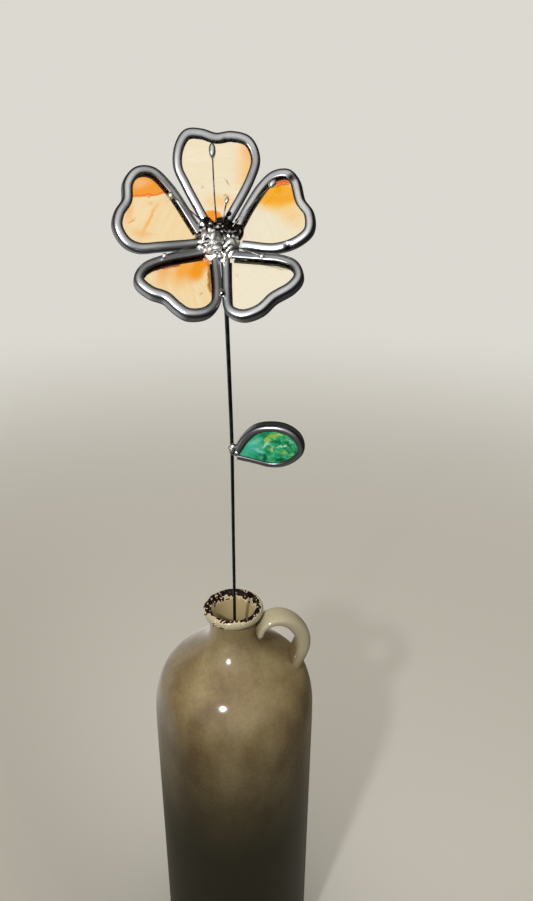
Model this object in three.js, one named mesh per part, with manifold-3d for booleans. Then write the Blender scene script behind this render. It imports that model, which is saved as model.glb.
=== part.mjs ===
// A flower and a leaf of leaded glass on a bent steel wire, standing in a glazed stoneware bottle.
//
// Millimetres. +Z is up, +X is to the right and +Y is away from the viewer. The origin is the middle of
// the bottle's flat foot. The flower has five heart-shaped glass petals, each held in a U-shaped lead
// came, joined by solder in the middle; the wire carries them and rests in the bottle's mouth.

import * as THREE from "three";
import { mergeVertices } from "three/addons/utils/BufferGeometryUtils.js";
import Module from "manifold-3d";

const wasm = await Module();
wasm.setup();

const degrees = THREE.MathUtils.degToRad;
const v2 = (x, y) => new THREE.Vector2(x, y);
const v3 = (x, y, z) => new THREE.Vector3(x, y, z);

// ---- driving dimensions ----

const gap = 0.3;                  // between touching pieces
const ballDetail = 1;             // how often the faces of a ball are split

const bottle = {
  radius: 58,
  footRadius: 52,
  footRise: 9,                    // height of the rounding above the foot
  height: 340,
  wall: 6,
  floor: 8,
  floorFillet: 3,
  segments: 40,
  // straight steps along each run of the profile
  steps: { foot: 3, shoulder: 15, lip: 6, mouth: 6, inside: 10, fillet: 2 },
};

// The shoulder and neck outside, and the shoulder inside, as [radius, height].
const shoulderOutside = [
  [58, 240], [57.5, 261], [55.7, 272.4], [51.9, 283], [46, 290.2], [40, 295.1], [34, 299.7], [28, 304.3],
  [22.5, 309.4], [18.8, 314.6], [17.1, 320.5], [16.8, 326], [16.8, 332],
];
const lipOutside = [[16.8, 332], [18.9, 332.7], [20.6, 334.6], [21, 336.9], [20.2, 339.1], [18.2, 340]];
const mouthInside = [[18.2, 340], [16.7, 339.2], [15.2, 337], [14.1, 333.5], [13, 327], [12.4, 321]];
const shoulderInside = [
  [12.4, 321], [12.7, 315], [14.9, 309.5], [19, 304.4], [24.3, 299.9], [30.2, 295.2], [36.2, 290.4],
  [42, 285.4], [46.6, 279.5], [49.9, 271], [51.6, 259], [52, 240],
];

const handle = {
  azimuth: 12,                    // the loop's plane, turned from +X towards +Y
  towardsViewer: 8,               // how far that plane stands in front of the bottle's axis
  halfWidth: 8.5,
  bluntness: 0.65,                // 1 gives an oval section, less a squarer one
  // centre line in the loop's plane, as [distance out, height, half the thickness there]
  route: [
    [16.6, 317.5, 2], [16.4, 321, 2.6], [18.6, 326.9, 3], [24.6, 331, 3.4], [31.6, 331.1, 3.9],
    [38.2, 327.9, 4.6], [43.9, 321.9, 5.2], [47.5, 315.2, 5.4], [48.2, 308.3, 5.3], [46.4, 301.6, 5.3],
    [43.8, 295.6, 5.2], [41.9, 290.2, 4.8],
  ],
  steps: 22,
  sides: 12,
};

const wire = {
  radius: 1,
  steps: 34,
  sides: 8,
  // from the floor at the back wall, past the front of the rim, up to the back of the flower
  route: [
    [-1, 49.8, 9.2], [0.3, 18.2, 173], [1.5, -9.8, 319], [1.6, -13.3, 337], [1.9, -18.2, 361],
    [2.4, -28.9, 408.8], [3.2, -43.2, 456.3], [3.7, -53.1, 483.8], [3.9, -69.1, 522.2], [4.1, -89.3, 563.9],
    [3.8, -98.6, 581.8], [3.7, -101.4, 586.6],
  ],
};

const flower = {
  centre: [3.7, -103.2, 589.8],
  faceUp: 25,                     // the flower's face looks this far above level, towards the viewer
  turn: 3,                        // and this far to the right
};

// The lead came: its width across the face, its depth, and the channel that the glass sits in.
const came = { width: 3.4, depth: 6, web: 1.3, flange: 1.2, corner: 1.2, edgeCorner: 0.4, steps: 34 };
const glassThickness = 3;
const socketLength = 12;          // how far the ends of a frame run in the solder

// Petals clockwise from the top. Each rises out of the flower's plane by its cup angle. Each outline is the
// middle of the came, as [out from the centre, across], from one end at the solder round to the other.
const petals = [
  { name: "top", angle: 93.9, cup: 20, glass: "#e9dcb4", outline: [
    [8, 5.5], [22, 12], [29, 14.5], [35.5, 13.4], [39.9, 9.9], [39.8, 4.6], [38, -1], [38.3, -7.2],
    [36.3, -13.2], [30, -15.6], [23, -13.1], [8, -3]] },
  { name: "upper_right", angle: 23.4, cup: 20, glass: "#f0c878", outline: [
    [8, 1.3], [16, 6.6], [24, 10.8], [30, 12.1], [35, 10], [36.2, 6], [35, -1.5], [36, -7.5], [33.5, -13],
    [27.5, -14.5], [19.5, -13], [7.8, -5.7]] },
  { name: "lower_right", angle: 312.4, cup: 20, glass: "#e9e2c8", outline: [
    [9, -1], [18, 5.5], [24.5, 10], [30.5, 12], [35.5, 9.7], [36.6, 5], [34.7, -3], [34.6, -10],
    [31.3, -15.9], [25.7, -17.8], [18.9, -13.4], [8.4, -4.4]] },
  { name: "lower_left", angle: 230, cup: 22, glass: "#f2c468", outline: [
    [9.8, 3.9], [18.2, 11.5], [24.3, 15.5], [30.5, 15.4], [35.8, 11.1], [36.6, 6.4], [36.4, 1], [38.7, -4.6],
    [38.3, -10.7], [33, -12.7], [25, -10.4], [9.7, -1.4]] },
  { name: "upper_left", angle: 160.7, cup: 23, glass: "#f4b848", outline: [
    [10, 5.5], [22.3, 12.5], [30, 16.6], [35, 16.5], [39.7, 12.8], [40.7, 7.9], [39.7, 2.3], [41.4, -4],
    [39.5, -9.6], [34.5, -12.1], [26.5, -9.6], [10.5, 0.7]] },
];

// Lumps of the centre solder, as [x, y, forward, radius] in the flower's own frame.
const solderLumps = [
  [0, 0, 1, 6.4], [-1.5, 0.5, 4.4, 4.4], [-6.2, 3.6, 4.6, 3.7], [-7.6, -1.2, 4.2, 3.5],
  [-3.8, -5.4, 4.4, 3.8], [0.8, -7, 4.4, 3], [3.2, -3.4, 4.6, 4], [4.8, 2.2, 4.6, 3.6],
  [0.8, 5.2, 4.4, 3.7], [0, -1, -3, 4.6],
];

// Stamens: root, a point half way and tip in the flower's own frame, and the radius of the drop.
const stamenRadius = 0.4;
const stamenSides = 6;
const stamenSteps = 8;
const stamens = [
  { name: "a", route: [[-1.8, 5, 4.8], [-2.4, 15.4, 13.5], [-2.8, 28.4, 18]], drop: 1.5 },
  { name: "b", route: [[-2.7, 2, 5.4], [-11.2, 8, 11], [-18.7, 13.3, 13.4]], drop: 1.3 },
  { name: "c", route: [[2.3, 2, 5.6], [10.7, 9.2, 11.5], [19.8, 17.4, 14.9]], drop: 1.4 },
  { name: "d", route: [[0.8, 2.5, 5.5], [1.3, 7.8, 9.9], [2.4, 12.4, 11.3]], drop: 1.1 },
  { name: "e", route: [[-3.3, -1.4, 5.4], [-12, -5.8, 11], [-21.3, -9.7, 13.2]], drop: 1.2 },
  { name: "f", route: [[1.7, -2.5, 5.6], [8.4, -6.3, 10.4], [15.5, -9.7, 12.6]], drop: 1.2 },
];

const leaf = {
  joint: [3.6, -51.1, 478.1],     // where it meets the wire
  tilt: 109.8,                    // its plane follows the wire there, measured from lying flat
  turn: 10,                       // its tip comes this far towards the viewer
  outline: [
    [3.3, 1.4], [7.4, 9.9], [13.6, 17.3], [21.7, 20.1], [29, 19.6], [35.3, 14.9], [37.5, 7.2], [34, 0.7],
    [27.5, -4.3], [21.2, -5.6], [13.2, -4.4], [3.4, -3]],
  // lumps of solder, as [x, y, forward, radius] in the leaf's own frame
  lumps: [[0.4, 1.4, 0.8, 2.4], [1.2, 3, 0.6, 1.8], [0.2, -0.4, 0.8, 1.9], [2.8, -0.8, 0.4, 2.3]],
};

const seamSolder = [0.1, -23.5, 10.2, 1.9];   // between the two lower petals: place and radius

const leadColour = "#8f9094";
const solderColour = "#b9b9b6";
const steelColour = "#4a5056";
const glazeColour = "#857a5c";
const leafColour = "#4f8a6a";

// ---- solids ----

function closed(geometry) {
  const bare = geometry.index ? geometry.toNonIndexed() : geometry.clone();
  bare.deleteAttribute("normal");
  bare.deleteAttribute("uv");
  return mergeVertices(bare, 1e-4);
}

function manifoldOf(geometry) {
  const shape = closed(geometry);
  return new wasm.Manifold(new wasm.Mesh({
    numProp: 3,
    vertProperties: new Float32Array(shape.attributes.position.array),
    triVerts: new Uint32Array(shape.index.array),
  }));
}

function geometryOf(solid) {
  const mesh = solid.getMesh();
  const geometry = new THREE.BufferGeometry();
  geometry.setAttribute("position", new THREE.BufferAttribute(new Float32Array(mesh.vertProperties), 3));
  geometry.setIndex(new THREE.BufferAttribute(new Uint32Array(mesh.triVerts), 1));
  geometry.computeVertexNormals();
  return geometry;
}

// The largest connected piece, so that no scrap cut loose by a socket is left.
function largest(solid) {
  return solid.decompose().reduce((best, piece) => (piece.volume() > best.volume() ? piece : best));
}

function add(parent, name, geometry, look) {
  const mesh = new THREE.Mesh(geometry, new THREE.MeshStandardMaterial(look));
  mesh.name = name;
  parent.add(mesh);
  return mesh;
}

const lead = () => ({ color: leadColour, roughness: 0.35, metalness: 1 });
const solder = () => ({ color: solderColour, roughness: 0.25, metalness: 1 });
const glaze = () => ({ color: glazeColour, roughness: 0.22 });
const steel = () => ({ color: steelColour, roughness: 0.4, metalness: 1 });
const glass = (color) => ({ color, roughness: 0.06, metalness: 0, transparent: true, opacity: 0.5 });

function circle(radius, sides) {
  const corners = Array.from({ length: sides }, (_, i) => {
    const turn = (2 * Math.PI * i) / sides;
    return v2(radius * Math.cos(turn), radius * Math.sin(turn));
  });
  return new THREE.Shape(corners);
}

function rod(curve, radius, sides, steps) {
  return new THREE.ExtrudeGeometry(circle(radius, sides), { extrudePath: curve, steps });
}

function ball(x, y, z, radius) {
  return new THREE.IcosahedronGeometry(radius, ballDetail).translate(x, y, z);
}

// ---- bottle ----

function splineThrough(points, count) {
  return new THREE.SplineCurve(points.map(([r, z]) => v2(r, z))).getPoints(count);
}

function bottleBody() {
  const inner = bottle.radius - bottle.wall;
  const fillet = bottle.floorFillet;
  const foot = new THREE.QuadraticBezierCurve(
    v2(bottle.footRadius, 0), v2(bottle.radius, 0), v2(bottle.radius, bottle.footRise));
  const corner = new THREE.QuadraticBezierCurve(
    v2(inner, bottle.floor + fillet), v2(inner, bottle.floor), v2(inner - fillet, bottle.floor));
  const profile = [
    v2(0, 0),
    ...foot.getPoints(bottle.steps.foot),
    ...splineThrough(shoulderOutside, bottle.steps.shoulder),
    ...splineThrough(lipOutside, bottle.steps.lip).slice(1),
    ...splineThrough(mouthInside, bottle.steps.mouth).slice(1),
    ...splineThrough(shoulderInside, bottle.steps.inside).slice(1),
    ...corner.getPoints(bottle.steps.fillet),
    v2(0, bottle.floor),
  ];
  // LatheGeometry turns about Y, so its profile's height is laid from Y up to Z.
  return new THREE.LatheGeometry(profile, bottle.segments).rotateX(Math.PI / 2);
}

const blunt = (share) => Math.sign(share) * Math.abs(share) ** handle.bluntness;

// A straight round bar, bent along the loop's centre line and flattened to the strap's section there.
function handleStrap() {
  const route = new THREE.CatmullRomCurve3(handle.route.map((place) => v3(...place)));
  const bar = new THREE.ExtrudeGeometry(
    circle(1, handle.sides), { depth: 1, steps: handle.steps, bevelEnabled: false });
  const points = bar.attributes.position;
  for (let i = 0; i < points.count; i++) {
    const along = THREE.MathUtils.clamp(points.getZ(i), 0, 1);
    const middle = route.getPointAt(along);
    const tangent = route.getTangentAt(along);
    const outward = v2(-tangent.y, tangent.x).setLength(blunt(points.getX(i)) * middle.z);
    points.setXYZ(i, middle.x + outward.x, middle.y + outward.y, blunt(points.getY(i)) * handle.halfWidth);
  }
  const turn = degrees(handle.azimuth);
  const out = v3(Math.cos(turn), Math.sin(turn), 0);
  const across = out.clone().cross(v3(0, 0, 1));
  const frame = new THREE.Matrix4().makeBasis(out, v3(0, 0, 1), across);
  frame.setPosition(across.multiplyScalar(handle.towardsViewer));
  return bar.applyMatrix4(frame);
}

// The space inside the bottle, which the handle's roots must not enter.
function bottleHollow() {
  const inner = bottle.radius - bottle.wall;
  const above = bottle.height + 1;
  const profile = [
    v2(0, bottle.floor),
    v2(inner, bottle.floor),
    ...splineThrough([...shoulderInside].reverse(), bottle.steps.inside),
    ...splineThrough([...mouthInside].reverse(), bottle.steps.mouth).slice(1),
    v2(mouthInside[0][0], above),
    v2(0, above),
  ];
  return new THREE.LatheGeometry(profile, bottle.segments).rotateX(Math.PI / 2);
}

// ---- lead and glass ----

// The came's U section: x is its depth, y points away from the glass.
function cameSection() {
  const edge = came.width / 2;
  const face = came.depth / 2;
  const slot = face - came.flange;
  const floor = edge - came.web;
  const half = [
    [slot, floor], [slot, -edge], [face - came.edgeCorner, -edge], [face, came.edgeCorner - edge],
    [face, edge - came.corner], [face - came.corner, edge],
  ];
  const other = half.map(([x, y]) => [-x, y]).reverse();
  return new THREE.Shape([...half, ...other].map(([x, y]) => v2(x, y)));
}

const middleLine = (outline) => new THREE.CatmullRomCurve3(outline.map(([x, y]) => v3(x, y, 0)));

function alongOutline(section, outline) {
  return new THREE.ExtrudeGeometry(section, { extrudePath: middleLine(outline), steps: came.steps });
}

function glassPlate(outline) {
  const edge = middleLine(outline).getSpacedPoints(came.steps).map((p) => v2(p.x, p.y));
  return new THREE.ExtrudeGeometry(new THREE.Shape(edge), { depth: glassThickness, bevelEnabled: false })
    .translate(0, 0, -glassThickness / 2);
}

// The room that the two ends of a frame take up in the solder, with the gap all round.
function rootSocket(outline) {
  const reach = came.width / 2 + gap;
  const corners = (from, to, side) => {
    const run = v2(to[0] - from[0], to[1] - from[1]).normalize();
    const out = v2(-run.y, run.x).multiplyScalar(side * reach);
    const start = v2(...from).addScaledVector(run, -gap).add(out);
    return [start, start.clone().addScaledVector(run, socketLength)];
  };
  const last = outline.length - 1;
  const [a, b] = corners(outline[0], outline[1], 1);
  const [d, c] = corners(outline[last], outline[last - 1], -1);
  const depth = came.depth + 2 * gap;
  return new THREE.ExtrudeGeometry(new THREE.Shape([a, b, c, d]), { depth, bevelEnabled: false })
    .translate(0, 0, -depth / 2);
}

// The came filled in, with the gap all round.
function fatSweep(outline) {
  const half = came.width / 2 + gap;
  const deep = came.depth / 2 + gap;
  const section = new THREE.Shape([v2(-deep, -half), v2(deep, -half), v2(deep, half), v2(-deep, half)]);
  return alongOutline(section, outline);
}

// ---- the flower's frame and its petals' frames ----

const turned = (z, x, y) => new THREE.Matrix4()
  .makeRotationZ(degrees(z))
  .multiply(new THREE.Matrix4().makeRotationX(degrees(x)))
  .multiply(new THREE.Matrix4().makeRotationY(degrees(y)));

const flowerFrame = turned(flower.turn, 90 - flower.faceUp, 0).setPosition(v3(...flower.centre));

const petalFrame = (petal) => turned(petal.angle, 0, -petal.cup);
const leafFrame = turned(0, leaf.tilt, -leaf.turn).setPosition(v3(...leaf.joint));

function placedGroup(parent, matrix) {
  const group = new THREE.Group();
  group.applyMatrix4(matrix);
  parent.add(group);
  return group;
}

// ---- solder ----

const wireRoute = new THREE.CatmullRomCurve3(wire.route.map((p) => v3(...p)));
const stamenRoute = (stamen) => new THREE.CatmullRomCurve3(stamen.route.map((p) => v3(...p)));

function lumpSolid(lumps) {
  return lumps.map((lump) => manifoldOf(ball(...lump))).reduce((all, one) => all.add(one));
}

function wireSocket(frame) {
  const around = rod(wireRoute, wire.radius + gap, wire.sides, wire.steps);
  return manifoldOf(around.applyMatrix4(frame.clone().invert()));
}

function centreSolder() {
  let mass = lumpSolid(solderLumps);
  for (const petal of petals) {
    mass = mass.subtract(manifoldOf(rootSocket(petal.outline).applyMatrix4(petalFrame(petal))));
  }
  for (const stamen of stamens) {
    const socket = stamenRoute(stamen);
    mass = mass.subtract(manifoldOf(rod(socket, stamenRadius + gap, stamenSides, stamenSteps)));
    mass = mass.subtract(manifoldOf(ball(...stamen.route[0], stamenRadius + gap)));
  }
  mass = mass.subtract(wireSocket(flowerFrame));
  return largest(mass.subtract(manifoldOf(ball(...wireTopInFlower(), wire.radius + gap))));
}

function wireTopInFlower() {
  const top = v3(...wire.route[wire.route.length - 1]).applyMatrix4(flowerFrame.clone().invert());
  return [top.x, top.y, top.z];
}

function leafSolder() {
  const mass = lumpSolid(leaf.lumps)
    .subtract(wireSocket(leafFrame))
    .subtract(manifoldOf(rootSocket(leaf.outline)));
  return largest(mass);
}

function seamDrop() {
  const drop = petals.slice(2, 4).reduce(
    (mass, petal) => mass.subtract(manifoldOf(fatSweep(petal.outline).applyMatrix4(petalFrame(petal)))),
    manifoldOf(ball(...seamSolder)));
  return largest(drop);
}

function stamenSolid(stamen) {
  const tip = stamen.route[stamen.route.length - 1];
  const thread = manifoldOf(rod(stamenRoute(stamen), stamenRadius, stamenSides, stamenSteps));
  return thread.add(manifoldOf(ball(...tip, stamen.drop)));
}

// ---- assembly ----

const object = new THREE.Group();

const roots = manifoldOf(handleStrap()).subtract(manifoldOf(bottleHollow()));
add(object, "bottle", geometryOf(manifoldOf(bottleBody()).add(roots)), glaze());
add(object, "stem_wire", rod(wireRoute, wire.radius, wire.sides, wire.steps), steel());

const flowerGroup = placedGroup(object, flowerFrame);
for (const petal of petals) {
  const group = placedGroup(flowerGroup, petalFrame(petal));
  add(group, `petal_came_${petal.name}`, alongOutline(cameSection(), petal.outline), lead());
  add(group, `petal_glass_${petal.name}`, glassPlate(petal.outline), glass(petal.glass));
}
add(flowerGroup, "center_solder", geometryOf(centreSolder()), solder());
add(flowerGroup, "seam_solder", geometryOf(seamDrop()), solder());
for (const stamen of stamens) {
  add(flowerGroup, `stamen_${stamen.name}`, geometryOf(stamenSolid(stamen)), solder());
}

const leafGroup = placedGroup(object, leafFrame);
add(leafGroup, "leaf_came", alongOutline(cameSection(), leaf.outline), lead());
add(leafGroup, "leaf_glass", glassPlate(leaf.outline), { color: leafColour, roughness: 0.12 });
add(leafGroup, "leaf_solder", geometryOf(leafSolder()), solder());

export default object;
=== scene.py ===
import math

import bmesh
import bpy
from mathutils import Matrix, Vector, noise


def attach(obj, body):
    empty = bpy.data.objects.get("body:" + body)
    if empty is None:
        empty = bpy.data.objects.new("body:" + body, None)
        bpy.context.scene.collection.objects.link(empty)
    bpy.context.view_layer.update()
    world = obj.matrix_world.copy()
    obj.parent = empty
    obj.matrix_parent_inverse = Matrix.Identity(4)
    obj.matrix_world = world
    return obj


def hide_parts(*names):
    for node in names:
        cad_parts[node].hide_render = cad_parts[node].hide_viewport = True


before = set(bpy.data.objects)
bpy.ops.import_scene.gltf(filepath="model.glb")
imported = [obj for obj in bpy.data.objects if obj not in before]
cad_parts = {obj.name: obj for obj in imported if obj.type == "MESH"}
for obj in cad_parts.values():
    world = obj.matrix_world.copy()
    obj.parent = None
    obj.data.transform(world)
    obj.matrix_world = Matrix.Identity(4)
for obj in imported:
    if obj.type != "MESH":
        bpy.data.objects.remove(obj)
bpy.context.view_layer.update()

# A flower and a leaf of leaded glass on a bent steel wire, standing in a glazed stoneware bottle.
# Lengths are in millimetres and are turned to metres where a mesh is made.

MM = 0.001
NOISE_SEED = 1                    # any but 0, which would make noise_vector differ from run to run

# ---- bottle: [radius, height] along its outside, over the lip, and down the inside ----

BOTTLE_TURNS = 256
FOOT = [[0, 0], [44, 0], [51, 0.1], [54.6, 1], [57, 3.8], [57.9, 8], [58, 12]]
BODY = [[58, z] for z in range(24, 240, 12)]
SHOULDER = [
    [58, 240], [57.5, 261], [55.7, 272.4], [51.9, 283], [46, 290.2], [40, 295.1], [34, 299.7],
    [28, 304.3], [22.5, 309.4], [18.8, 314.6], [17.1, 320.5], [16.8, 326], [16.8, 332],
]
LIP = [[16.8, 332], [18.9, 332.7], [20.6, 334.6], [21, 336.9], [20.2, 339.1], [18.2, 340]]
MOUTH = [[18.2, 340], [16.7, 339.2], [15.2, 337], [14.1, 333.5], [13, 327], [12.4, 321]]
INSIDE = [
    [12.4, 321], [12.7, 315], [14.9, 309.5], [19, 304.4], [24.3, 299.9], [30.2, 295.2], [36.2, 290.4],
    [42, 285.4], [46.6, 279.5], [49.9, 271], [51.6, 259], [52, 240],
]
INSIDE_WALL = [[52, z] for z in range(220, 10, -40)]
INSIDE_FLOOR = [[51.6, 9.4], [50.6, 8.4], [49, 8], [30, 8], [0, 8]]
CREST = 17.3                      # radius of the mouth's worn crest, and how far its wear reaches
CREST_WEAR = 2.9
WORN_ABOVE = 334                  # height from which the lip is worn
CHIP_DEPTH = 0.7
PALE_FROM = 331                   # height from which the lip's glaze turns pale, and over how much
PALE_OVER = 2.5

HANDLE_AZIMUTH = 12
HANDLE_FORWARD = 8
HANDLE_HALF_WIDTH = 8.4
HANDLE_STEPS = 72
HANDLE_TIP = 5                    # steps over which its upper end is rounded off
HANDLE_SQUARE = 0.72              # how square its section is, from 1 for an oval down
HANDLE_STAIN = 14                 # steps over which the glaze's stain at its upper end fades
ROOT_STAIN_FROM = 48              # step from which its lower end is stained
HANDLE_ROUTE = [                  # distance out, height, half the thickness there
    [16.6, 317.5, 2], [16.4, 321, 2.6], [18.6, 326.9, 3], [24.6, 331, 3.4], [31.6, 331.1, 3.9],
    [38.2, 327.9, 4.6], [43.9, 321.9, 5.2], [47.5, 315.2, 5.4], [48.2, 308.3, 5.3], [46.4, 301.6, 5.3],
    [43.8, 295.6, 5.2], [41.9, 290.2, 4.8],
]

# ---- wire, flower and leaf, as in the solids ----

WIRE_RADIUS = 1
WIRE_ROUTE = [
    [-1, 49.8, 9.2], [0.3, 18.2, 173], [1.5, -9.8, 319], [1.6, -13.3, 337], [1.9, -18.2, 361],
    [2.4, -28.9, 408.8], [3.2, -43.2, 456.3], [3.7, -53.1, 483.8], [3.9, -69.1, 522.2],
    [4.1, -89.3, 563.9], [3.8, -98.6, 581.8], [3.7, -101.4, 586.6],
]
FLOWER_CENTRE = [3.7, -103.2, 589.8]
FLOWER_UP = 25
FLOWER_TURN = 3
PETALS = [                        # name, angle, cup, middle line of the came
    ["top", 93.9, 20, [
        [8, 5.5], [22, 12], [29, 14.5], [35.5, 13.4], [39.9, 9.9], [39.8, 4.6], [38, -1], [38.3, -7.2],
        [36.3, -13.2], [30, -15.6], [23, -13.1], [8, -3]]],
    ["upper_right", 23.4, 20, [
        [8, 1.3], [16, 6.6], [24, 10.8], [30, 12.1], [35, 10], [36.2, 6], [35, -1.5], [36, -7.5],
        [33.5, -13], [27.5, -14.5], [19.5, -13], [7.8, -5.7]]],
    ["lower_right", 312.4, 20, [
        [9, -1], [18, 5.5], [24.5, 10], [30.5, 12], [35.5, 9.7], [36.6, 5], [34.7, -3], [34.6, -10],
        [31.3, -15.9], [25.7, -17.8], [18.9, -13.4], [8.4, -4.4]]],
    ["lower_left", 230, 22, [
        [9.8, 3.9], [18.2, 11.5], [24.3, 15.5], [30.5, 15.4], [35.8, 11.1], [36.6, 6.4], [36.4, 1],
        [38.7, -4.6], [38.3, -10.7], [33, -12.7], [25, -10.4], [9.7, -1.4]]],
    ["upper_left", 160.7, 23, [
        [10, 5.5], [22.3, 12.5], [30, 16.6], [35, 16.5], [39.7, 12.8], [40.7, 7.9], [39.7, 2.3],
        [41.4, -4], [39.5, -9.6], [34.5, -12.1], [26.5, -9.6], [10.5, 0.7]]],
]
# Small dark dents and cold joints in the came, as places in the petal's own frame, and their reach.
DENTS = {
    "top": [[36.7, -4.4, 1.1]],
    "upper_right": [[36.0, 7.7, 1.6], [23.6, -14.9, 1.5]],
    "lower_right": [[17.9, 6.3, 1.0]],
}
DENT_DEPTH = 0.35
# Each petal's glass: direction of its fine streaks, its base colours, and its patches of other colours and
# of painted shadow, each as [x, y, turn, half length, half width, softness] in the petal's own frame.
PETAL_GLASS = {
    "top": [90, [(0.3, "#fbf0d6"), (0.5, "#f8eacb"), (0.7, "#fcf3df")], [
        [[24, -13, 8, 17, 7.5, 1.0], "#ffcf86"],
        [[33, -13.5, 12, 8, 4.5, 1.0], "#ffc273"],
        [[15.5, -0.5, 90, 9, 4, 1.0], "#ffd595"],
        [[9.8, 2.6, 80, 4.4, 3.1, 0.35], "#ff9a04"],
        [[22.2, -4.4, 35, 2.2, 0.28, 0.7], "#a8855c"],
        [[17.3, -3.2, 70, 1.3, 0.3, 0.7], "#8d6a48"],
        [[20.8, 5.8, 85, 1.1, 0.25, 0.8], "#a8855c"]]],
    "upper_right": [88, [(0.3, "#f9ecca"), (0.5, "#f6edd6"), (0.7, "#faf2df")], [
        [[30, -4, 118, 11, 7, 0.9], "#fddca4"],
        [[26.5, 3.2, 150, 14, 5.2, 0.7], "#ffd382"],
        [[28.5, 5, 152, 13, 5.2, 0.45], "#ffb41c"],
        [[29, 3.3, 150, 8, 1.2, 0.9], "#ffa60c"],
        [[32, 9.3, 165, 5.5, 2.4, 0.35], "#ff7414"],
        [[31.2, 8.1, 160, 3.4, 0.3, 0.8], "#a33f10"],
        [[33, 7.2, 160, 2.4, 0.25, 0.8], "#b24a10"],
        [[20, 6.9, 27, 9, 0.9, 0.5], "#b98532"],
        [[30, -5.4, 172, 4, 0.3, 0.9], "#e9b877"]]],
    "lower_right": [90, [(0.3, "#f6efd8"), (0.7, "#f9f3e1")], [
        [[16.2, -5.5, 0, 1.1, 0.8, 0.5], "#e6dcc0"],
        # painted shadow of the upper came: a brown band on the glass along it, with a paler line down its
        # middle
        [[19, 5.2, 27, 16, 1.9, 0.4], "#8f7236"],
        [[20, 5.0, 27, 14, 0.4, 0.8], "#e3d7b2"]]],
    "lower_left": [60, [(0.3, "#fdd9a0"), (0.5, "#fce3b4"), (0.7, "#fdebc8")], [
        [[28, -7, 25, 11, 5, 1.0], "#fcc17a"],
        [[22, -2.5, 20, 11, 6, 0.9], "#ffb544"],
        [[17.5, 1, 15, 9, 4.6, 0.7], "#ffa21c"],
        [[12, 0.6, 40, 4.2, 3.4, 0.5], "#ff9408"],
        [[25.5, 4, 70, 7, 0.5, 1.0], "#fbcb88"],
        [[25.1, 9.2, 0, 0.5, 0.5, 0.6], "#c98a4a"],
        # painted shadow of the came: the next two are dark bands on the glass along the came
        [[22.5, -7.2, -26, 17, 1.5, 0.4], "#8a3410"],
        [[17.3, 7.3, 43, 10, 1.1, 0.5], "#b5762e"]]],
    "upper_left": [80, [(0.3, "#fcdca6"), (0.5, "#fce3b4"), (0.7, "#fde9c4")], [
        [[35.5, -9, 33, 18, 6.3, 0.03], "#f4640c"],
        [[35.5, -9.2, 33, 18, 6.15, 0.1], "#ffa22c"],
        [[37.2, -6.4, 38, 6, 3, 0.9], "#fdc27a"],
        [[37.8, 5.5, 100, 7, 3, 1.0], "#fdc987"],
        [[31, 11, 10, 6, 2.4, 1.0], "#fccb8c"],
        [[29.6, 4.6, 82, 12, 1.0, 0.9], "#fcbc68"],
        [[31, -1.4, 20, 1.8, 1.0, 0.9], "#fdc274"],
        [[35.4, 8.2, 48, 2.9, 0.45, 0.9], "#f3a04a"],
        [[28, 9.8, 20, 5, 0.5, 1.0], "#fccb90"],
        [[17, -2, -36, 8, 0.9, 0.6], "#f2a43a"]]],
}
LEAF_JOINT = [3.6, -51.1, 478.1]
LEAF_TILT = 109.8
LEAF_TURN = 10
LEAF_LINE = [
    [3.3, 1.4], [7.4, 9.9], [13.6, 17.3], [21.7, 20.1], [29, 19.6], [35.3, 14.9], [37.5, 7.2],
    [34, 0.7], [27.5, -4.3], [21.2, -5.6], [13.2, -4.4], [3.4, -3],
]

# The leaf's glass: base colours, and patches as on the petals.
LEAF_BASE = [(0.32, "#0b5a35"), (0.44, "#17774a"), (0.54, "#2b8e5e"), (0.66, "#5ba27a")]
LEAF_PATCHES = [
    [[11, 5, 60, 13, 8, 0.9], "#38997e"],
    [[13, 9, 40, 6, 2.2, 0.8], "#5aa88e"],
    [[15, 3, -20, 6, 1.4, 0.8], "#63ab98"],
    [[11, 0.5, 0, 4, 1.6, 0.8], "#2b8c78"],
    [[19, 8.5, 60, 6, 1.2, 0.9], "#9cc3ac"],
    [[22.5, 14.6, 10, 4, 1.5, 0.5], "#7f9c3a"],
    [[19.6, 11.4, 30, 2.8, 1.8, 0.5], "#86a042"],
    [[26, 16.2, 0, 2.4, 0.8, 0.6], "#a3b25c"],
    [[22.3, 6, 70, 2.6, 1.0, 0.6], "#93a65a"],
    [[29, 4.2, 60, 2.2, 1.2, 0.5], "#7c9a42"],
    [[33, 3, 30, 2.6, 1.1, 0.7], "#6d9b48"],
    [[27.5, 8.2, 25, 6, 0.7, 0.9], "#a9c9a6"],
    [[31.5, 12.6, -35, 4, 0.6, 0.9], "#8fbf9c"],
    [[18.3, -2, 80, 5, 1.6, 0.8], "#0a4a33"],
    [[23.5, 11, 20, 4, 1.6, 0.8], "#075a30"],
    [[31, 9.5, -50, 6, 1.6, 0.8], "#0b5e38"],
    [[27, -1.5, 15, 6, 1.8, 0.8], "#0a4d2c"],
]

# Half of the came's section, as [depth, outward]: a soft round back and thin flanges over the glass.
CAME_HALF = [
    [1.8, 0.35], [1.8, -1.5], [2.1, -1.75], [2.5, -1.72], [2.85, -1.4], [3.0, -0.8], [3.02, -0.1],
    [2.95, 0.6], [2.7, 1.15], [2.25, 1.55], [1.6, 1.76], [0.8, 1.84],
]
CAME_STEPS = 110
CROWN_TURN = 0.36                 # where round the section painted reflection makes it bright, and how far
CROWN_REACH = 0.4
FLANK_TURN = 1.4
FLANK_REACH = 0.26
HAND_WAVE = 0.07                  # how far hand bending leaves the came uneven
GLASS_THICKNESS = 2.6

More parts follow.
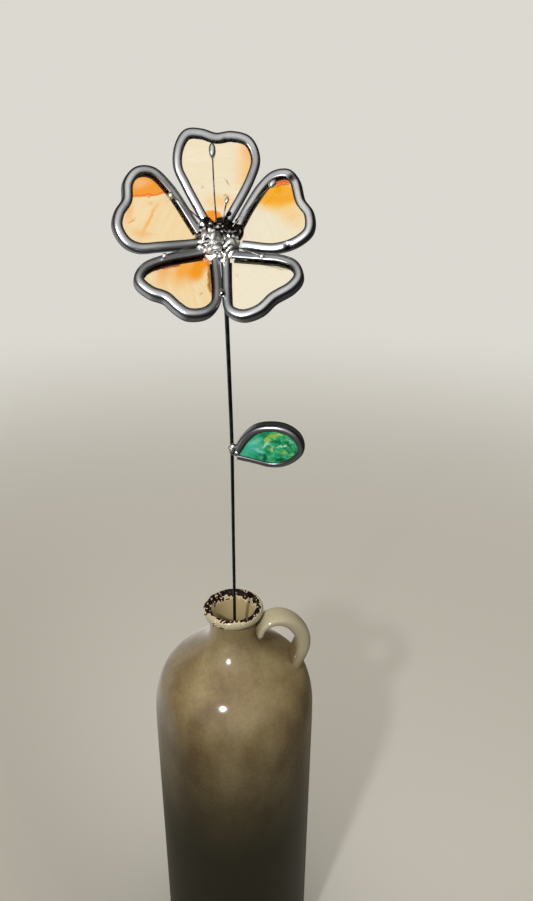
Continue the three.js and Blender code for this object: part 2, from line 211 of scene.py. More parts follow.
# Lumps of solder, as [x, y, forward, radius] in the flower's own frame.
CENTRE_LUMPS = [
    [0, 0, 1, 6.4], [-1.5, 0.5, 4.4, 4.4], [-6.2, 3.6, 4.6, 3.7], [-7.6, -1.2, 4.2, 3.5],
    [-3.8, -5.4, 4.4, 3.8], [0.8, -7, 4.4, 3], [3.2, -3.4, 4.6, 4], [4.8, 2.2, 4.6, 3.6],
    [0.8, 5.2, 4.4, 3.7], [0, -1, -3, 4.6], [-2.6, -0.4, 7.6, 2.1], [-6.5, 0.6, 7, 1.8],
    [1.6, 2.2, 7.6, 1.7], [-1.2, -4.6, 7.4, 1.9], [-4.6, 4.6, 7, 1.6],
    [2.8, 9.2, 6.3, 0.95], [5.9, 6.6, 6.1, 0.95], [0.9, 6.8, 6.6, 0.8],
]
SEAM_LUMPS = [[0.1, -23.5, 10.4, 1.3], [0, -22.2, 9.9, 0.9]]
LEAF_LUMPS = [[0.4, 1.4, 0.8, 2.3], [1.2, 3, 0.6, 1.8], [0.2, -0.4, 0.8, 1.9], [2.8, -0.8, 0.4, 2.3]]

STAMEN_RADIUS = 0.28
WIRE_TARNISH = 0.55
STAMENS = [                       # name, root, half way, tip, radius and length of the drop
    ["a", [-1.8, 5, 4.8], [-2.4, 15.4, 13.5], [-2.8, 28.4, 18], 1.35, 2.0],
    ["b", [-2.7, 2, 5.4], [-11.2, 8, 11], [-18.7, 13.3, 13.4], 1.25, 1.1],
    ["c", [2.3, 2, 5.6], [10.7, 9.2, 11.5], [19.8, 17.4, 14.9], 1.45, 1.3],
    ["d", [0.8, 2.5, 5.5], [1.3, 7.8, 9.9], [2.4, 12.4, 11.3], 0.85, 1.6],
    ["e", [-3.3, -1.4, 5.4], [-12, -5.8, 11], [-21.3, -9.7, 13.2], 0.95, 1.1],
    ["f", [1.7, -2.5, 5.6], [8.4, -6.3, 10.4], [15.5, -9.7, 12.6], 1.0, 1.1],
]


# ---- camera, floor and light ----

CAMERA_PLACE = (22.3, -375.4, 614)
CAMERA_TILT = 67.22
CAMERA_ROLL = 0.44
CAMERA_LENS = 25.97

FLOOR_COLOUR = "#d6d2c9"
FLOOR_IN_ROOM = "#6b6862"         # the floor's colour for the light that it gives back
FLOOR_FADE = (0.5, 2.6)           # metres from the bottle over which the floor ends for the camera
FLOOR_FADE_IN_ROOM = (0.15, 0.5)  # and for reflections and bounced light

BACKDROP = 0.92
THROUGH_GLASS = 1.2
SKY_LIGHT = (0.12, 1.1)           # for matt surfaces, from level up to overhead
FRONT_WALL = (-0.08, -0.84, 0.53)  # where shiny surfaces see the pale walls, and how bright
FRONT_LIGHT = (0.05, 1.2)
LEFT_WALL = (-0.65, 0.62, -0.42)
LEFT_LIGHT = (0, 1.0)
LAMP_PLACE = (-90, -305, 580)
LAMP_AIM = (20, -60, 440)
LAMP_RADIUS = 0.014
LAMP_BEAM = 84                    # degrees across
LAMP_WATTS = 5


def make_camera():
    data = bpy.data.cameras.new("camera")
    data.lens = CAMERA_LENS
    data.sensor_width = 36
    data.clip_start = 0.01
    camera = bpy.data.objects.new("camera", data)
    aim = (Matrix.Rotation(math.radians(CAMERA_TILT), 4, "X")
           @ Matrix.Rotation(math.radians(CAMERA_ROLL), 4, "Z"))
    camera.matrix_world = Matrix.Translation(Vector(CAMERA_PLACE) * MM) @ aim
    bpy.context.scene.collection.objects.link(camera)
    bpy.context.scene.camera = camera


def linear(hex_colour, alpha=1):
    def channel(text):
        value = int(text, 16) / 255
        return value / 12.92 if value <= 0.04045 else ((value + 0.055) / 1.055) ** 2.4
    return (*(channel(hex_colour[i:i + 2]) for i in (1, 3, 5)), alpha)


def node(tree, kind, inputs=None, **settings):
    """Adds a node with its settings, and sets or links its inputs."""
    made = tree.nodes.new(kind)
    for name, value in settings.items():
        setattr(made, name, value)
    for name, value in (inputs or {}).items():
        if isinstance(value, bpy.types.NodeSocket):
            tree.links.new(value, made.inputs[name])
        else:
            made.inputs[name].default_value = value
    return made


def new_material(name, **values):
    """A material with one Principled shader, whose plain values are set on its own sockets."""
    material = bpy.data.materials.new(name)
    material.use_nodes = True
    tree = material.node_tree
    tree.nodes.clear()
    shader = node(tree, "ShaderNodeBsdfPrincipled")
    for socket, value in values.items():
        shader.inputs[socket.replace("_", " ")].default_value = value
    node(tree, "ShaderNodeOutputMaterial", {"Surface": shader.outputs["BSDF"]})
    place = node(tree, "ShaderNodeTexCoord").outputs["Object"]
    return material, tree, shader, place


def ramp(tree, factor, stops):
    """A colour ramp over factor, with its stops as (position, hex colour)."""
    made = node(tree, "ShaderNodeValToRGB", {"Fac": factor})
    elements = made.color_ramp.elements
    while len(elements) < len(stops):
        elements.new(0.5)
    for element, (position, colour) in zip(elements, stops):
        element.position = position
        element.color = linear(colour)
    return made.outputs["Color"]


def attribute(tree, name):
    return node(tree, "ShaderNodeAttribute", attribute_name=name).outputs["Fac"]


def clouds(tree, place, scale, detail, roughness=0.5, output="Fac"):
    values = {"Vector": place, "Scale": scale, "Detail": detail, "Roughness": roughness}
    return node(tree, "ShaderNodeTexNoise", values).outputs[output]


def mapped(tree, value, start, end, low=0, high=1, smooth=False):
    """Goes from low to high while value goes from start to end, and stays there outside them."""
    values = {"Value": value, "From Min": start, "From Max": end, "To Min": low, "To Max": high}
    kind = "SMOOTHSTEP" if smooth else "LINEAR"
    return node(tree, "ShaderNodeMapRange", values, interpolation_type=kind).outputs[0]


def mixed(tree, factor, first, second, blend="MIX"):
    """A colour between two others, each a hex colour or a socket."""
    first, second = (linear(c) if isinstance(c, str) else c for c in (first, second))
    values = {"Factor": factor, "A": first, "B": second}
    return node(tree, "ShaderNodeMix", values, data_type="RGBA", blend_type=blend).outputs["Result"]


def roughen(tree, shader, height, strength, distance):
    """Bumps the surface by height, over a distance in metres."""
    values = {"Height": height, "Strength": strength, "Distance": distance}
    tree.links.new(node(tree, "ShaderNodeBump", values).outputs["Normal"], shader.inputs["Normal"])


def make_floor():
    """A pale matt floor that fades into the background far from the bottle. For reflections and bounced
    light it is darker and smaller, so that the bottle gets little light from below."""
    bm = bmesh.new()
    bmesh.ops.create_circle(bm, cap_ends=True, segments=96, radius=6)
    mesh = bpy.data.meshes.new("floor")
    bm.to_mesh(mesh)
    bm.free()
    floor = bpy.data.objects.new("floor", mesh)
    bpy.context.scene.collection.objects.link(floor)
    material, tree, shader, place = new_material("pale_floor", Roughness=0.9)
    seen = node(tree, "ShaderNodeLightPath").outputs["Is Camera Ray"]
    tree.links.new(mixed(tree, seen, FLOOR_IN_ROOM, FLOOR_COLOUR), shader.inputs["Base Color"])
    reach = node(tree, "ShaderNodeVectorMath", {"Vector": place}, operation="LENGTH").outputs["Value"]
    start, end = (mapped(tree, seen, 0, 1, *both) for both in zip(FLOOR_FADE_IN_ROOM, FLOOR_FADE))
    tree.links.new(mapped(tree, reach, start, end, 1, 0, smooth=True), shader.inputs["Alpha"])
    mesh.materials.append(material)


def make_world():
    """A pale room. Matt surfaces are lit softly from above. Shiny ones see a pale wall in front and another
    behind on the left, and are dark elsewhere. Glass lets through a little more than the backdrop's own
    brightness."""
    world = bpy.data.worlds.new("studio")
    world.use_nodes = True
    tree = world.node_tree
    tree.nodes.clear()
    ray = node(tree, "ShaderNodeLightPath").outputs
    way = node(tree, "ShaderNodeTexCoord").outputs["Generated"]

    def lit(direction, start, end, light):
        """Brightness that grows as the way looked comes nearer to a direction."""
        pair = {0: way, 1: Vector(direction).normalized()}
        near = node(tree, "ShaderNodeVectorMath", pair, operation="DOT_PRODUCT").outputs["Value"]
        return mapped(tree, near, start, end, *light, smooth=True)

    def choose(kind, other, value):
        values = {"Factor": ray[kind], "A": other, "B": value}
        return node(tree, "ShaderNodeMix", values, data_type="FLOAT").outputs["Result"]

    above = lit((0, 0, 1), 0, 1, SKY_LIGHT)
    front = lit(FRONT_WALL, 0.45, 0.9, FRONT_LIGHT)
    left = lit(LEFT_WALL, 0.52, 0.85, LEFT_LIGHT)
    walls = node(tree, "ShaderNodeMath", {0: front, 1: left}, operation="ADD").outputs[0]
    strength = choose("Is Diffuse Ray", BACKDROP, above)
    strength = choose("Is Glossy Ray", strength, walls)
    strength = choose("Is Transmission Ray", strength, THROUGH_GLASS)
    background = node(tree, "ShaderNodeBackground", {"Color": linear("#e4e1d9"), "Strength": strength})
    node(tree, "ShaderNodeOutputWorld", {"Surface": background.outputs["Background"]})
    bpy.context.scene.world = world
    bpy.context.scene.view_settings.view_transform = "Standard"


def make_lamp():
    """A small lamp to the left of the viewer, level with the flower."""
    data = bpy.data.lights.new("lamp", "SPOT")
    data.energy = LAMP_WATTS
    data.shadow_soft_size = LAMP_RADIUS
    data.spot_size = math.radians(LAMP_BEAM)
    data.spot_blend = 0.7
    lamp = bpy.data.objects.new("lamp", data)
    aim = (Vector(LAMP_AIM) - Vector(LAMP_PLACE)).to_track_quat("-Z", "Y").to_matrix().to_4x4()
    lamp.matrix_world = Matrix.Translation(Vector(LAMP_PLACE) * MM) @ aim
    bpy.context.scene.collection.objects.link(lamp)


# ---- shared shapes ----

SPLINE_STEPS = 24


def smooth_line(points, count):
    """count evenly spaced points on a centripetal spline through points, and the directions there."""
    ends = [2 * Vector(points[0]) - Vector(points[1])]
    ends.append(2 * Vector(points[-1]) - Vector(points[-2]))
    knots = [ends[0], *map(Vector, points), ends[1]]
    fine = []
    for a, b, c, d in zip(knots, knots[1:], knots[2:], knots[3:]):
        t1 = (b - a).length ** 0.5
        t2 = t1 + (c - b).length ** 0.5
        t3 = t2 + (d - c).length ** 0.5
        for i in range(SPLINE_STEPS):
            t = t1 + (t2 - t1) * i / SPLINE_STEPS
            ab = a.lerp(b, t / t1)
            bc = b.lerp(c, (t - t1) / (t2 - t1))
            cd = c.lerp(d, (t - t2) / (t3 - t2))
            fine.append(ab.lerp(bc, t / t2).lerp(bc.lerp(cd, (t - t1) / (t3 - t1)), (t - t1) / (t2 - t1)))
    fine.append(Vector(points[-1]))
    lengths = [0]
    for a, b in zip(fine, fine[1:]):
        lengths.append(lengths[-1] + (b - a).length)
    line = []
    span = 0
    for i in range(count):
        reach = lengths[-1] * i / (count - 1)
        while span < len(fine) - 2 and lengths[span + 1] < reach:
            span += 1
        share = (reach - lengths[span]) / (lengths[span + 1] - lengths[span])
        line.append(fine[span].lerp(fine[span + 1], share))
    last = count - 1
    directions = [(line[min(i + 1, last)] - line[max(i - 1, 0)]).normalized() for i in range(count)]
    return line, directions


def straight_bar(section, steps):
    """A bar with that section, one unit long for each step, standing on the origin."""
    bm = bmesh.new()
    face = bm.faces.new([bm.verts.new((x, y, 0)) for x, y in section])
    for _ in range(steps):
        grown = bmesh.ops.extrude_face_region(bm, geom=[face])["geom"]
        tops = [g for g in grown if isinstance(g, bmesh.types.BMVert)]
        bmesh.ops.translate(bm, vec=(0, 0, 1), verts=tops)
        face = next(g for g in grown if isinstance(g, bmesh.types.BMFace))
    return bm


def bend(bm, place):
    """Moves each point of a straight bar to place(step, x, y)."""
    for vert in bm.verts:
        vert.co = place(round(vert.co.z), vert.co.x, vert.co.y)


def circle(radius, sides):
    turns = [2 * math.pi * i / sides for i in range(sides)]
    return [(radius * math.cos(t), radius * math.sin(t)) for t in turns]


def round_wire(route, radius, sides, steps):
    line, directions = smooth_line(route, steps + 1)
    side = directions[0].orthogonal().normalized()
    frames = []
    for point, direction in zip(line, directions):
        side = (side - direction * side.dot(direction)).normalized()
        frames.append((point, side, direction.cross(side)))
    bm = straight_bar(circle(radius, sides), steps)
    bend(bm, lambda i, x, y: frames[i][0] + frames[i][1] * x + frames[i][2] * y)
    return bm


def ball(bm, place, radius, stretch=1, along=None):
    """Adds a ball, or a drop that is stretched along a direction."""
    shape = Matrix.Translation(Vector(place))
    if along:
        shape = shape @ along.to_track_quat("Z", "Y").to_matrix().to_4x4()
    shape = shape @ Matrix.Diagonal((1, 1, stretch, 1))
    return bmesh.ops.create_icosphere(bm, subdivisions=3, radius=radius, matrix=shape)["verts"]


def placed(bm, matrix):
    """Puts a mesh into the object's frame, in metres."""
    bmesh.ops.transform(bm, matrix=Matrix.Diagonal((MM, MM, MM, 1)) @ matrix, verts=bm.verts)
    return bm


def new_piece(name, bm, material, nodes, crease=40):
    bmesh.ops.remove_doubles(bm, verts=bm.verts, dist=1e-7)
    bmesh.ops.recalc_face_normals(bm, faces=bm.faces)
    mesh = bpy.data.meshes.new(name)
    bm.to_mesh(mesh)
    bm.free()
    mesh.shade_smooth()
    mesh.set_sharp_from_angle(angle=math.radians(crease))
    mesh.materials.append(material)
    piece = bpy.data.objects.new(name, mesh)
    bpy.context.scene.collection.objects.link(piece)
    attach(piece, "root")
    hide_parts(*nodes)
    return piece


def turned(z, x, y):
    return (Matrix.Rotation(math.radians(z), 4, "Z") @ Matrix.Rotation(math.radians(x), 4, "X")
            @ Matrix.Rotation(math.radians(y), 4, "Y"))


FLOWER_FRAME = Matrix.Translation(FLOWER_CENTRE) @ turned(FLOWER_TURN, 90 - FLOWER_UP, 0)
LEAF_FRAME = Matrix.Translation(LEAF_JOINT) @ turned(0, LEAF_TILT, -LEAF_TURN)


# ---- materials ----

PAINTED_SHADE_FULL_BELOW = 150                  # height below which painted shade darkens the glaze most, and from where there is none
PAINTED_SHADE_ENDS_AT = 295


def glazed_stoneware():
    """Stoneware under a thin olive-beige glaze: glossy, cloudy where it lies thick or thin, darkened towards
    the foot by painted shade, paler on the lip and the handle, brown where it pooled at the handle's ends,
    with fine cracks, and dark bare clay where the lip is chipped."""
    material, tree, shader, place = new_material("glazed_stoneware", IOR=1.5)
    height = node(tree, "ShaderNodeSeparateXYZ", {"Vector": place}).outputs["Z"]
    runs = node(tree, "ShaderNodeMapping", {"Vector": place, "Scale": (1, 1, 0.6)}).outputs["Vector"]
    shares = {"Factor": 0.82, "A": clouds(tree, place, 420, 3, 0.6), "B": clouds(tree, runs, 30, 3)}
    mottle = node(tree, "ShaderNodeMix", shares, data_type="FLOAT").outputs["Result"]
    body = ramp(tree, mottle, [(0.36, "#66543a"), (0.46, "#766445"), (0.54, "#827150"), (0.66, "#92835f")])
    # painted shade: the glaze is darkened towards the foot
    light = mapped(tree, height, PAINTED_SHADE_FULL_BELOW * MM, PAINTED_SHADE_ENDS_AT * MM, smooth=True)
    glaze = mixed(tree, light, "#323022", body)
    glaze = mixed(tree, attribute(tree, "pale"), glaze, "#aca285")
    glaze = mixed(tree, attribute(tree, "pool"), glaze, "#5a4326")
    cells = node(tree, "ShaderNodeTexVoronoi", {"Vector": place, "Scale": 300}, feature="DISTANCE_TO_EDGE")
    cracks = mapped(tree, cells.outputs["Distance"], 0, 0.05, 0.9, 1)
    glaze = mixed(tree, 1, glaze, cracks, "MULTIPLY")
    glaze = mixed(tree, attribute(tree, "inside"), glaze, "#a8966f")
    chip = attribute(tree, "chip")
    clay = ramp(tree, chip, [(0, "#b5a888"), (0.36, "#cdbb98"), (0.45, "#2a1a14"), (1, "#120c0a")])
    crumbs = mapped(tree, clouds(tree, place, 480, 2), 0.62, 0.66)
    clay = mixed(tree, crumbs, clay, "#d6bd9a")
    worn = mapped(tree, chip, 0, 0.25)
    tree.links.new(mixed(tree, worn, glaze, clay), shader.inputs["Base Color"])
    tree.links.new(mapped(tree, chip, 0.2, 0.6, 0.12, 0.75), shader.inputs["Roughness"])
    tree.links.new(mapped(tree, chip, 0.3, 0.5, 0.5, 0.08), shader.inputs["Specular IOR Level"])
    roughen(tree, shader, clouds(tree, place, 110, 2), 0.1, 0.0005)
    return material


def drawn_steel_wire():
    """Bare drawn steel wire gone dark: satin grey with a faint unevenness."""
    material, tree, shader, place = new_material("drawn_steel_wire", Metallic=1.0, Roughness=0.36)
    stain = clouds(tree, place, 160, 4)
    shade = ramp(tree, stain, [(0.3, "#23282a"), (0.55, "#3d4446"), (0.75, "#5c6364")])
    tree.links.new(shade, shader.inputs["Base Color"])
    return material


def lead_came():
    """Lead came, drawn through a die and then bent by hand: soft satin grey with faint lines along its
    length, a painted reflection that makes its crown and its outer side bright and its edges dark, and
    nearly black in its dents."""
    material, tree, shader, place = new_material(
        "lead_came", Metallic=1.0, Specular_Tint=(0.3, 0.3, 0.31, 1))
    drawn = node(
        tree, "ShaderNodeCombineXYZ", {"X": attribute(tree, "along"), "Y": attribute(tree, "around")})
    lines = node(
        tree, "ShaderNodeMapping", {"Vector": drawn.outputs["Vector"], "Scale": (0.12, 3.0, 1)})
    grain = clouds(tree, lines.outputs["Vector"], 1, 3, 0.6)
    patina = {0: grain, 1: 0.4, 2: clouds(tree, place, 90, 4, 0.55)}
    wear = node(tree, "ShaderNodeMath", patina, operation="MULTIPLY_ADD").outputs[0]
    shade = ramp(tree, wear, [(0.45, "#adafb5"), (0.7, "#c9cbd0"), (0.9, "#dddfe2")])
    # painted reflection: dark along the edges, bright on the crown and the outer side
    shade = mixed(tree, attribute(tree, "painted_sheen"), "#3c3e42", shade)
    shade = mixed(tree, attribute(tree, "dent"), shade, "#17171a")
    tree.links.new(shade, shader.inputs["Base Color"])
    tree.links.new(mapped(tree, wear, 0.45, 0.9, 0.38, 0.26), shader.inputs["Roughness"])
    roughen(tree, shader, grain, 0.12, 0.0002)
    return material


def solder():
    """Tin-lead solder, run on hot and left as it set: bright and smooth on its lumps, with black flux and
    tarnish left in the folds between them."""
    material, tree, shader, place = new_material("solder", Metallic=1.0, Roughness=0.34)
    flux = clouds(tree, place, 420, 4, 0.6)
    spread = {0: flux, 1: 0.5, 2: attribute(tree, "fold")}
    dirt = node(tree, "ShaderNodeMath", spread, operation="MULTIPLY_ADD").outputs[0]
    shade = ramp(tree, dirt, [(0.3, "#d2d2d0"), (0.55, "#a8a8a8"), (0.85, "#4a4644"), (1, "#211e1c")])
    tree.links.new(shade, shader.inputs["Base Color"])
    roughen(tree, shader, flux, 0.12, 0.0004)
    return material


def in_frame(tree, place, own_frame):
    """Places in a petal's or the leaf's own frame, in millimetres."""
    values = {
        "Vector": place, "Location": own_frame.translation * MM, "Rotation": own_frame.to_euler(),
        "Scale": (MM, MM, MM)}
    return node(tree, "ShaderNodeMapping", values, vector_type="TEXTURE").outputs["Vector"]


def stirred(tree, own, scale, detail, roughness, reach):
    """Places in the glass moved about by up to half of reach, as colours ran in the melt."""
    swirl = clouds(tree, own, scale, detail, roughness, output="Color")
    values = {"Vector": swirl, "Scale": (reach, reach, 0), "Location": (-reach / 2, -reach / 2, 0)}
    moved = node(tree, "ShaderNodeMapping", values).outputs["Vector"]
    return node(tree, "ShaderNodeVectorMath", {0: own, 1: moved}, operation="ADD").outputs[0]


def with_patches(tree, flat, shade, patches):
    """Lays soft oval patches on the glass, each [x, y, turn, half length, half width, softness] and its
    colour."""
    for (x, y, turn, length, width, softness), colour in patches:
        values = {
            "Vector": flat, "Location": (x, y, 0), "Rotation": (0, 0, math.radians(turn)),
            "Scale": (length, width, 1000)}
        own = node(tree, "ShaderNodeMapping", values, vector_type="TEXTURE").outputs["Vector"]
        oval = node(tree, "ShaderNodeTexGradient", {"Vector": own}, gradient_type="SPHERICAL")
        mask = mapped(tree, oval.outputs["Fac"], 0, softness, smooth=True)
        shade = mixed(tree, mask, shade, colour)
    return shade


def cathedral_glass(name, petal_frame, grain, base, patches):
    """Hand-streaked cathedral glass: clear, with wisps of amber drawn out as the sheet was rolled. grain is
    the direction of the rolling in the petal."""
    material, tree, shader, place = new_material(
        "cathedral_glass_" + name, Roughness=0.03, IOR=1.5, Transmission_Weight=1, Specular_IOR_Level=0.4)
    own = in_frame(tree, place, petal_frame)
    values = {"Vector": own, "Rotation": (0, 0, math.radians(grain)), "Scale": (16, 1.6, 4)}
    rolled = node(tree, "ShaderNodeMapping", values, vector_type="TEXTURE").outputs["Vector"]
    streak = clouds(tree, rolled, 1, 4, 0.6)
    flat = stirred(tree, own, 0.22, 4, 0.6, reach=3.6)
    shade = with_patches(tree, flat, ramp(tree, streak, base), patches)
    tree.links.new(shade, shader.inputs["Base Color"])
    roughen(tree, shader, streak, 0.15, 0.0004)
    return material


def opalescent_glass():
    """Opalescent sheet glass: milky and nearly opaque, teal clouding into green, with blotches of
    yellow-green and dark green, under a glossy skin."""
    material, tree, shader, place = new_material("opalescent_glass", Roughness=0.1, IOR=1.5)
    flat = stirred(tree, in_frame(tree, place, LEAF_FRAME), 0.6, 5, 0.7, reach=6)
    shade = ramp(tree, clouds(tree, flat, 0.4, 5, 0.6), LEAF_BASE)
    tree.links.new(with_patches(tree, flat, shade, LEAF_PATCHES), shader.inputs["Base Color"])
    return material


# ---- pieces ----

def bottle_body(material):
    def dense(points, count):
        line, _ = smooth_line([(r, z, 0) for r, z in points], count)
        return [(p.x, p.y) for p in line]

    outside = FOOT + BODY + dense(SHOULDER, 44) + dense(LIP, 24)[1:]
    inner = dense(MOUTH, 30)[1:] + dense(INSIDE, 24)[1:] + INSIDE_WALL + INSIDE_FLOOR
    bm = bmesh.new()
    line = [bm.verts.new((r, 0, z)) for r, z in outside + inner]
    edges = [bm.edges.new(pair) for pair in zip(line, line[1:])]
    bmesh.ops.spin(
        bm, geom=line + edges, cent=(0, 0, 0), axis=(0, 0, 1), angle=2 * math.pi, steps=BOTTLE_TURNS,
        use_merge=True)
    bmesh.ops.remove_doubles(bm, verts=bm.verts, dist=1e-3)
    chip = bm.verts.layers.float.new("chip")
    inside = bm.verts.layers.float.new("inside")
    pale = bm.verts.layers.float.new("pale")
    for vert in bm.verts:
        radius = vert.co.xy.length
        if vert.co.z > WORN_ABOVE:
            ragged = noise.fractal(vert.co / 2.6, 1, 2, 3) * 0.8 + noise.noise(vert.co / 12) * 0.7
            worn = max(0, min(1, 1.15 + ragged - abs(radius - CREST) / CREST_WEAR))
            vert[chip] = worn
            vert.co.z -= CHIP_DEPTH * max(0, worn - 0.4)
        wall = next((r for r, z in reversed(outside) if z <= vert.co.z), 0)
        if vert.co.z > 7 and radius < wall - 2.5:
            vert[inside] = 1
        vert[pale] = max(0, min(1, (vert.co.z - PALE_FROM) / PALE_OVER))
    placed(bm, Matrix())
    new_piece("bottle_body", bm, material, ["bottle"], crease=60)


def bottle_handle(material):
    middle, directions = smooth_line(HANDLE_ROUTE, HANDLE_STEPS + 1)
    turn = math.radians(HANDLE_AZIMUTH)
    out = Vector((math.cos(turn), math.sin(turn), 0))
    across = Vector((math.sin(turn), -math.cos(turn), 0))
    up = Vector((0, 0, 1))

    def squared(share):
        return math.copysign(abs(share) ** HANDLE_SQUARE, share)

    def place(i, x, y):
        along = Vector((directions[i].x, directions[i].y)).normalized()
        rounding = math.sqrt(1 - (1 - min(1, (i + 0.4) / HANDLE_TIP)) ** 2)
        reach = squared(x) * middle[i].z * rounding
        point = out * (middle[i].x - along.y * reach) + up * (middle[i].y + along.x * reach)
        return point + across * (HANDLE_FORWARD + squared(y) * HANDLE_HALF_WIDTH * rounding)

    bm = straight_bar(circle(1, 48), HANDLE_STEPS)
    pale = bm.verts.layers.float.new("pale")
    pool = bm.verts.layers.float.new("pool")
    for vert in bm.verts:
        vert[pale] = min(1, (HANDLE_STEPS - vert.co.z) / HANDLE_STAIN)
        left_leg = max(0, vert.co.x - 0.2) * max(0, 1 - vert.co.z / HANDLE_STAIN)
        stained = max(0, min(1, (vert.co.z - ROOT_STAIN_FROM) / HANDLE_STAIN))
        right_leg = max(0, -0.1 - vert.co.x) * stained
        vert[pool] = min(0.8, 1.3 * max(left_leg, right_leg))
    bend(bm, place)
    placed(bm, Matrix())
    new_piece("bottle_handle", bm, material, ["bottle"], crease=70)


def stem_wire(material):
    bm = placed(round_wire(WIRE_ROUTE, WIRE_RADIUS, 20, 260), Matrix())
    new_piece("stem_wire_drawn", bm, material, ["stem_wire"])


def came_bar(line_points, seed, dents=()):
    """The came along a petal's outline, with the slight waves and dents of hand bending."""
    section = CAME_HALF + [(-x, y) for x, y in reversed(CAME_HALF)]
    line, directions = smooth_line([(x, y, 0) for x, y in line_points], CAME_STEPS + 1)
    middle = sum(line, Vector()) / len(line)
    side = 1 if (line[40] - middle).dot(directions[40].cross(Vector((0, 0, 1)))) > 0 else -1
    step = (line[1] - line[0]).length
    bm = straight_bar(section, CAME_STEPS)
    along = bm.verts.layers.float.new("along")
    around = bm.verts.layers.float.new("around")
    dent = bm.verts.layers.float.new("dent")
    painted_sheen = bm.verts.layers.float.new("painted_sheen")
    for vert in bm.verts:
        i = round(vert.co.z)
        x, y = vert.co.x, vert.co.y
        # painted reflection: bright on the crown and the outer side of the section, dark towards its edges
        turn = math.atan2(y + 1, abs(x))
        crown = math.exp(-((turn - CROWN_TURN) / CROWN_REACH) ** 2)
        flank = 0.8 * math.exp(-((turn - FLANK_TURN) / FLANK_REACH) ** 2)
        vert[painted_sheen] = max(crown, flank)
        vert[along] = i * step + seed
        vert[around] = math.atan2(y + 1, x)
        outward = directions[i].cross(Vector((0, 0, 1))) * side
        place = line[i] + outward * y
        for dent_x, dent_y, reach in dents:
            off = (place - Vector((dent_x, dent_y, 0))).length / reach
            vert[dent] = max(vert[dent], math.exp(-off ** 4) if x > 1 else 0)
        pressed = DENT_DEPTH * vert[dent]
        vert.co = place + Vector((0, 0, x - pressed)) - outward * pressed
        vert.co += noise.noise_vector(place / 7 + Vector((seed, 0, 0))) * HAND_WAVE
    return bm


def glass_plate(line_points):
    line, _ = smooth_line([(x, y, 0) for x, y in line_points], 90)
    bm = bmesh.new()
    face = bm.faces.new([bm.verts.new(p - Vector((0, 0, GLASS_THICKNESS / 2))) for p in line])
    grown = bmesh.ops.extrude_face_region(bm, geom=[face])["geom"]
    verts = [g for g in grown if isinstance(g, bmesh.types.BMVert)]
    bmesh.ops.translate(bm, vec=(0, 0, GLASS_THICKNESS), verts=verts)
    return bm


def solder_mass(lumps, voxel, roughness, seed, burnt=False):
    """Lumps of solder run into one mass, then wrinkled as it set. A burnt one is black with flux on its
    upper right."""
    bm = bmesh.new()
    for x, y, z, radius in lumps:
        ball(bm, (x, y, z), radius)
    mesh = bpy.data.meshes.new("lumps")
    bm.to_mesh(mesh)
    bm.free()
    mass = bpy.data.objects.new("lumps", mesh)
    bpy.context.scene.collection.objects.link(mass)
    remesh = mass.modifiers.new("run_together", "REMESH")
    remesh.mode = "VOXEL"
    remesh.voxel_size = voxel
    bpy.context.view_layer.update()
    joined = bpy.data.meshes.new_from_object(mass.evaluated_get(bpy.context.evaluated_depsgraph_get()))
    bpy.data.objects.remove(mass)
    bm = bmesh.new()
    bm.from_mesh(joined)
    bmesh.ops.smooth_vert(
        bm, verts=bm.verts, factor=0.5, use_axis_x=True, use_axis_y=True, use_axis_z=True)
    bm.normal_update()
    fold = bm.verts.layers.float.new("fold")
    ridges = [wrinkle(vert.co, Vector((seed, 0, 0))) for vert in bm.verts]
    for vert, ridge in zip(bm.verts, ridges):
        flux = flux_at(vert.co) if burnt else 0
        vert[fold] = max(0, min(1, max(1 - ridge * 3.4, flux)))
    for vert, ridge in zip(bm.verts, ridges):
        vert.co += vert.normal * roughness * (ridge - 0.5)
    return bm


def wrinkle(place, shift):
    """How high the solder stands there: broad lumps with sharp folds between them, and small unevenness."""
    return abs(noise.noise(place / 3.6 + shift)) * 2.2 + noise.noise(place / 1.5 + shift) * 0.2


def flux_at(place):
    """How black the flux is there, growing to the upper right."""
    return 0.1 + (place.y + 0.5 * place.x - 1.2) / 4 + 1.3 * noise.noise(place / 2)


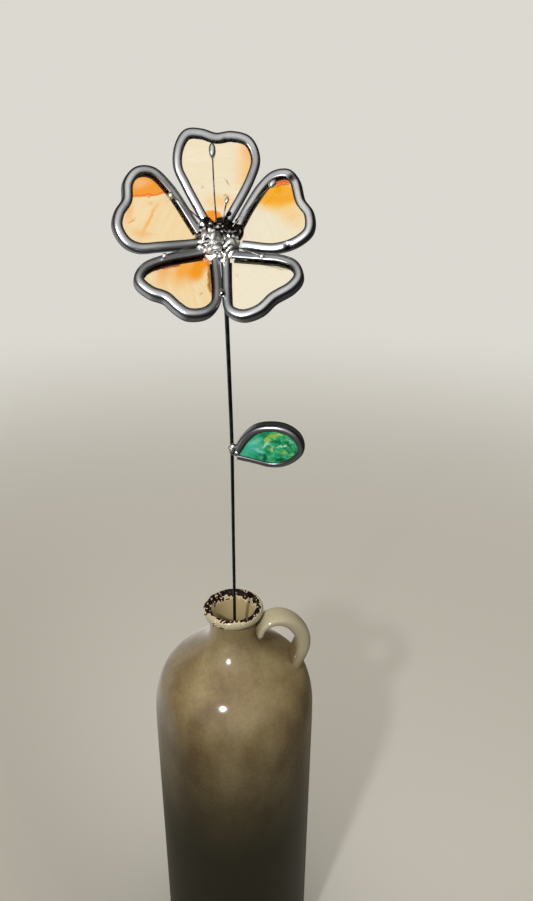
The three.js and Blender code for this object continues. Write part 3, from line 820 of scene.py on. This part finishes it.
def make_stamen(name, root, half_way, tip, radius, stretch, material):
    bm = round_wire([root, half_way, tip], STAMEN_RADIUS, 10, 26)
    fold = bm.verts.layers.float.new("fold")
    for vert in bm.verts:
        vert[fold] = WIRE_TARNISH
    ball(bm, tip, radius, stretch, Vector(tip) - Vector(half_way))
    placed(bm, FLOWER_FRAME)
    new_piece("stamen_wire_" + name, bm, material, ["stamen_" + name])


def make_object():
    glaze = glazed_stoneware()
    lead = lead_came()
    bright = solder()
    bottle_body(glaze)
    bottle_handle(glaze)
    stem_wire(drawn_steel_wire())
    for i, (name, angle, cup, line) in enumerate(PETALS):
        petal = FLOWER_FRAME @ turned(angle, 0, -cup)
        bar = placed(came_bar(line, i * 10, DENTS.get(name, ())), petal)
        new_piece("came_" + name, bar, lead, ["petal_came_" + name])
        plate = placed(glass_plate(line), petal)
        glass = cathedral_glass(name, petal, *PETAL_GLASS[name])
        new_piece("glass_" + name, plate, glass, ["petal_glass_" + name])
    mass = placed(solder_mass(CENTRE_LUMPS, voxel=0.3, roughness=1.0, seed=0, burnt=True), FLOWER_FRAME)
    new_piece("centre_solder_mass", mass, bright, ["center_solder"], crease=80)
    seam = placed(solder_mass(SEAM_LUMPS, voxel=0.2, roughness=0.2, seed=30), FLOWER_FRAME)
    new_piece("seam_solder_drop", seam, bright, ["seam_solder"], crease=80)
    for name, root, half_way, tip, radius, stretch in STAMENS:
        make_stamen(name, root, half_way, tip, radius, stretch, bright)
    bar = placed(came_bar(LEAF_LINE, 70), LEAF_FRAME)
    new_piece("came_leaf", bar, lead, ["leaf_came"])
    plate = placed(glass_plate(LEAF_LINE), LEAF_FRAME)
    new_piece("glass_leaf", plate, opalescent_glass(), ["leaf_glass"])
    lump = placed(solder_mass(LEAF_LUMPS, voxel=0.2, roughness=0.5, seed=50), LEAF_FRAME)
    new_piece("leaf_solder_lump", lump, bright, ["leaf_solder"], crease=80)


noise.seed_set(NOISE_SEED)
make_camera()
make_floor()
make_world()
make_lamp()
make_object()
